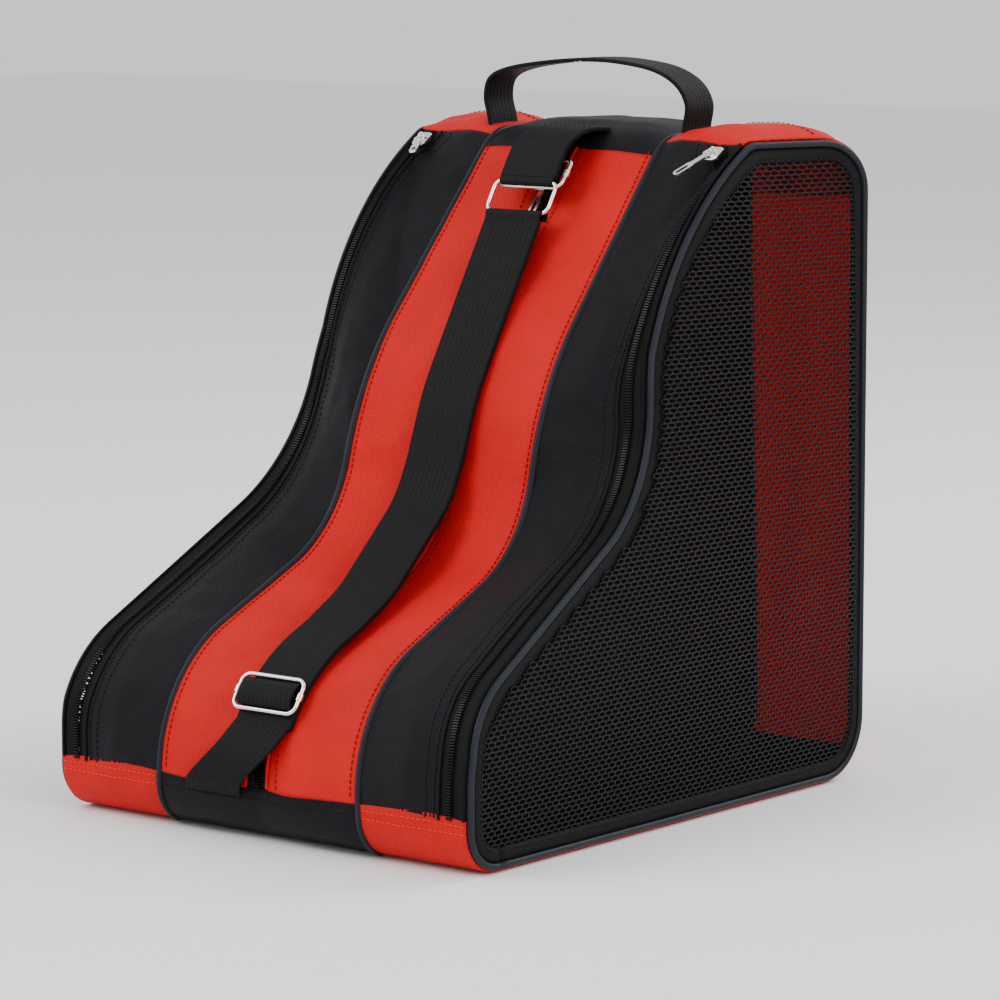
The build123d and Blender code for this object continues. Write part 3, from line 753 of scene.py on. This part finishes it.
    # divider
    flat = []
    for index in range(COUNT):
        (y, z), (ny, nz) = on(SEAM, index)
        y, z = y - ny * 3.0 * MM, z - nz * 3.0 * MM
        flat.append(Vector((side * seam_x(z), y, z)))
    rows = []
    levels = np.linspace(0.004, HEIGHT - 0.004, 90)
    for z in levels:
        ys = [p.y for p in section_at(flat, z)]
        row = []
        for k in range(41):
            share = k / 40
            y = lerp(min(ys), max(ys), share)
            slack = 1.2 * MM * wrinkle((0.0, y, z), 0.05, 4.0) * clamp(min(share, 1 - share) * 5)
            row.append(Vector((side * (seam_x(z) + slack), y, z)))
        rows.append(row)
    verts, faces, uvs = grid(rows)
    divider = add("cloth_" + name("divider"), verts, faces, uvs, BLACK, "bag", (name("divider"),))
    thicken(divider, 1.2 * MM, 0.0)


def section_at(path, z):
    """The points at which a closed path crosses a height."""
    found = []
    for a, b in zip(path, path[1:] + path[:1]):
        if (a.z - z) * (b.z - z) <= 0 and a.z != b.z:
            found.append(a.lerp(b, (z - a.z) / (b.z - a.z)))
    return found


for label, side in SIDES.items():
    build_side(label, side)

# ---------------------------------------------------------------- centre compartment

C_LOW = (crossing(MIDDLE, 1, PATCH_TOP, 0, TOP_LINE), crossing(SEAM, 1, PATCH_TOP, 0, TOP_LINE))
C_HIGH = tuple(crossing(curve, 0, CENTRE_TOP_FRONT, TOP_LINE - SAMPLES[8], TOP_ARC) for curve in (MIDDLE, SEAM))
C_TOP_END = tuple(crossing(curve, 1, TOP_BACK, BACK_LINE, HEEL_ARC) for curve in (MIDDLE, SEAM))
C_BACK_END = tuple(crossing(curve, 1, BASE_TOP, HEEL_ARC, BASE_LINE) for curve in (MIDDLE, SEAM))
C_PATCH = tuple(crossing(curve, 0, PATCH_BACK, BASE_LINE, COUNT) - COUNT for curve in (MIDDLE, SEAM))
WIDE = np.linspace(-1, 1, 41)
ZIP_EDGE, COIL_EDGE = 0.105, 0.036


def centre_line(share, lift, low=C_LOW[0], high=C_HIGH[0], count=240):
    return [centre(lerp(low, high, i / count), share, lift) for i in range(count + 1)]


centre_in = beneath(SEAM)
for label, side in SIDES.items():
    shares = side * np.linspace(ZIP_EDGE, 1, 22)
    panel("centre_front_" + label, centre_rows(C_LOW, C_HIGH, shares, 160), RED)
    shares = side * np.linspace(COIL_EDGE * 0.8, ZIP_EDGE * 1.1, 4)
    panel(f"centre_zip_{label}_tape", centre_rows(C_LOW, C_HIGH, shares, 160, -0.5 * MM), TAPE, 0.8 * MM)
    tube("rolled_edge_centre_" + label, centre_line(side * ZIP_EDGE, 0.2 * MM), 0.9 * MM, RED,
         sides=8)
    stitches("stitches_centre_" + label, [centre_line(side * s, 0.4 * MM) for s in (0.20, 0.93)], DARK_RED, centre_in)
teeth = [(p, d, p - centre_in(p)) for p, d in spaced(centre_line(0, 0.2 * MM), 1.5 * MM)]
bricks("teeth_centre_zip_coil", teeth, (1.0 * MM, 4.2 * MM, 1.4 * MM), COIL, replaces=("centre_zip_coil",))
panel("centre_toe_panel", centre_rows(C_PATCH, C_LOW, WIDE, 30), BLACK)
panel("centre_top_panel", centre_rows(C_HIGH, C_TOP_END, WIDE, 40), BLACK)
panel("centre_back_panel", centre_rows(C_TOP_END, C_BACK_END, WIDE, 60), RED)
base_end = (C_PATCH[0] + COUNT, C_PATCH[1] + COUNT)
panel("centre_base_panel", centre_rows(C_BACK_END, base_end, WIDE, 40, -CLOTH), RED)
toe_rows = []
for drop in (3 * MM, 7 * MM):
    low = [crossing(curve, 1, PATCH_TOP - drop, 0, TOP_LINE) for curve in (MIDDLE, SEAM)]
    toe_rows.append([centre(lerp(low[0], low[1], abs(s)), s, 0.4 * MM) for s in np.linspace(-0.95, 0.95, 90)])
stitches("stitches_centre_toe", toe_rows, BLACK_THREAD, centre_in)

# ---------------------------------------------------------------- shoulder strap


def on_nose(degrees, radius):
    angle = math.radians(degrees)
    return (NOSE_Y - math.cos(angle) * radius, NOSE_Z + math.sin(angle) * radius)


def strap_drift(y, z):
    """The strap wanders a few millimetres to the side on its way up."""
    return float(np.interp(z, [0.05, 0.08, 0.11, 0.14, 0.18, 0.36], [0.000, 0.003, 0.007, 0.004, 0.0, 0.0]))


STRAP_RADIUS = 81.5 * MM
low_head = (math.sin(math.radians(24)), math.cos(math.radians(24)))
high_head = (math.sin(math.radians(64)), math.cos(math.radians(64)))
start = np.array(on_nose(24, STRAP_RADIUS)) - np.array(low_head) * 3 * MM
instep = np.array(on_nose(64, STRAP_RADIUS)) + np.array(high_head) * 43 * MM
shift = TOE + 200 * MM
upper = [(shift - 58 * MM, 171.5 * MM), (shift - 38.5 * MM, 224 * MM), (shift + 16 * MM, 314.5 * MM)]
corner = on_nose(44, STRAP_RADIUS / math.cos(math.radians(20)))
route = rounded([tuple(start), corner, tuple(instep)] + upper, [STRAP_RADIUS, 90 * MM, 75 * MM, 150 * MM])
middle = [Vector((strap_drift(y, z), y, z)) for y, z in route]
ACROSS = Vector((1, 0, 0))
ring_low = Vector((0, shift + 18 * MM, 318 * MM))


def webbing(name, rows, thickness, body="bag", replaces=()):
    verts, faces, uvs = grid(rows)
    faces = facing_out(verts, faces, Vector((0, BACK - 0.05, 0.12)))
    piece = add(name, verts, faces, uvs, WEBBING, body, replaces)
    thicken(piece, thickness, 0.0)
    bevel = piece.modifiers.new("edge", "BEVEL")
    bevel.width = 0.4 * MM
    bevel.segments = 2
    return piece


wrap = [ring_low + Vector((0, -1.0 * MM, -3 * MM)), ring_low + Vector((0, -1.6 * MM, 1.5 * MM)),
        ring_low + Vector((0, 1.2 * MM, 3.2 * MM)), ring_low + Vector((0, 4.0 * MM, 0.5 * MM)),
        ring_low + Vector((0, 3.4 * MM, -4 * MM))]
outer_layer = [p + Vector((0, -0.8 * MM, 0.4 * MM)) for p in middle] + wrap
webbing("webbing_strap_outer", ribbon(smooth_path(outer_layer[::2] + outer_layer[-1:], 3), ACROSS, 38 * MM), 1.3 * MM,
        replaces=("shoulder_strap",))
webbing("webbing_strap_inner", ribbon([p + Vector((0, 0.7 * MM, -0.5 * MM)) for p in middle], ACROSS, 37.4 * MM), 1.3 * MM)

tail_stops = [(strap_drift(0, 0.055), middle[0].y + 0.4 * MM, middle[0].z + 2 * MM),
              (-5 * MM, shift - 204.5 * MM, 51.5 * MM), (-14 * MM, shift - 208 * MM, 41.5 * MM),
              (-24 * MM, shift - 207 * MM, 32 * MM), (-28 * MM, shift - 202.5 * MM, 24.5 * MM)]
webbing("webbing_tail", ribbon(smooth_path(tail_stops, 8), ACROSS, 38 * MM), 1.5 * MM, replaces=("strap_tail",))
tail_end = Vector(tail_stops[-1])
box_lines = [[tail_end + Vector((x, -1.4 * MM, 2 * MM)) for x in np.linspace(-17 * MM, 17 * MM, 30)]]
stitches("stitches_tail", box_lines, BLACK_THREAD, lambda p: p + Vector((0, 1, 0)))

# the fold of webbing over the buckle's middle bar
buckle_centre = np.array(on_nose(34, STRAP_RADIUS + (1.4 + 1.2 + 0.5) * MM))
along = Vector((0, math.sin(math.radians(34)), math.cos(math.radians(34))))
outward = Vector((0, -math.cos(math.radians(34)), math.sin(math.radians(34))))
hump = []
for k in range(25):
    s = k / 24 * 2 - 1
    hump.append(Vector((0, *buckle_centre)) + along * s * 7.6 * MM
                + outward * (2.7 * MM * (1 - abs(s) ** 3) - 0.9 * MM * abs(s) ** 3))
webbing("webbing_bight", ribbon(hump, ACROSS, 37 * MM), 1.3 * MM, "adjuster", ("strap_adjuster_bight",))

# anchor from the top seam to the ring, folded round its upper bar
anchor_route = rounded([(shift + 29.6 * MM, 336.6 * MM), (shift + 42 * MM, 356 * MM), (shift + 60 * MM, 362.5 * MM),
                        (shift + 80 * MM, 361.8 * MM)], [20 * MM, 40 * MM])
anchor = [Vector((0, y, z + 0.8 * MM)) for y, z in anchor_route]
webbing("webbing_anchor", ribbon(anchor, ACROSS, 38 * MM), 2.6 * MM, replaces=("strap_anchor",))
fold = [anchor[0] + Vector((0, 2 * MM, 1.5 * MM)), anchor[0] + Vector((0, -1.6 * MM, -0.6 * MM)),
        anchor[0] + Vector((0, -2.0 * MM, -3.4 * MM)), anchor[0] + Vector((0, 1.5 * MM, -4.2 * MM)),
        anchor[0] + Vector((0, 4.5 * MM, -0.8 * MM))]
webbing("webbing_anchor_fold", ribbon(smooth_path(fold, 6), ACROSS, 37 * MM), 1.2 * MM)
anchor_lines = [[anchor[k] + Vector((x, 0, 1.7 * MM)) for x in np.linspace(-17 * MM, 17 * MM, 30)] for k in (-6, -3)]
stitches("stitches_anchor", anchor_lines, BLACK_THREAD, lambda p: p - Vector((0, 0, 1)))

# ---------------------------------------------------------------- carry handle

hinge_y, hinge_z = JOINTS["handle_fold"]["pos_m"][1:]
stops = [(-67, 0, 355), (-68, -1, 366), (-70, -2, 378), (-64, -5, 389), (-48, -6, 395), (-22, -3, 399), (0, 0, 400.5),
         (22, 0, 400), (48, -2, 396.5), (64, -2, 389), (70, 0, 378), (68, 1, 366), (67, 0, 355)]
loop = smooth_path([(x * MM, hinge_y + y * MM, z * MM) for x, y, z in stops], 8)
handle = webbing("webbing_handle", ribbon(loop, Vector((0, 1, 0)), 25 * MM), 2.2 * MM, None,
                 ("handle_loop", "right_handle_tab", "left_handle_tab"))
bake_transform(handle)
marks = []
for centre_x in (-30 * MM, -8 * MM):
    marks.append([Vector((centre_x + dx, hinge_y - 13.0 * MM, 397.5 * MM + (dx + centre_x + 0.03) * 0.08))
                  for dx in np.linspace(-7 * MM, 7 * MM, 10)])
stitches("stitches_handle", marks, GREY_THREAD, lambda p: p + Vector((0, 1, 0)), "handle")

# ---------------------------------------------------------------- studio

floor_mesh = bpy.data.meshes.new("floor")
floor_mesh.from_pydata([(-6, -6, -0.0005), (6, -6, -0.0005), (6, 6, -0.0005), (-6, 6, -0.0005)], [], [(0, 1, 2, 3)])
floor = bpy.data.objects.new("floor", floor_mesh)
floor_material, _, _ = new_material("pale_floor", (0.9, 0.9, 0.9), 0.9)
floor_mesh.materials.append(floor_material)
bpy.context.scene.collection.objects.link(floor)


def area_light(name, place, target, size, power):
    light = bpy.data.lights.new(name, "AREA")
    light.size = size
    light.energy = power
    lamp = bpy.data.objects.new(name, light)
    lamp.location = place
    lamp.rotation_euler = (Vector(target) - Vector(place)).to_track_quat("-Z", "Y").to_euler()
    bpy.context.scene.collection.objects.link(lamp)


area_light("key", (-1.2, -1.6, 1.9), (0, 0, 0.15), 1.6, 42)
area_light("right_fill", (2.4, -0.5, 1.3), (0, 0, 0.15), 1.5, 30)
area_light("back_rim", (0.8, 1.8, 1.8), (0, 0, 0.2), 1.4, 34)
world = bpy.data.worlds.new("studio")
world.use_nodes = True
world.node_tree.nodes["Background"].inputs["Color"].default_value = (1, 1, 1, 1)
world.node_tree.nodes["Background"].inputs["Strength"].default_value = 0.95
bpy.context.scene.world = world

camera_data = bpy.data.cameras.new("photo_camera")
camera_data.lens = 166.74
camera_data.sensor_width = 36
camera = bpy.data.objects.new("photo_camera", camera_data)
right = Vector((0.78380, 0.62101, 0.00181))
up = Vector((-0.08748, 0.10752, 0.99035))
back = Vector((0.61482, -0.77639, 0.13860))
matrix = Matrix((right, up, back)).transposed().to_4x4()
matrix.translation = Vector((1.5789, -1.9619, 0.5158))
camera.matrix_world = matrix
bpy.context.scene.collection.objects.link(camera)
bpy.context.scene.camera = camera
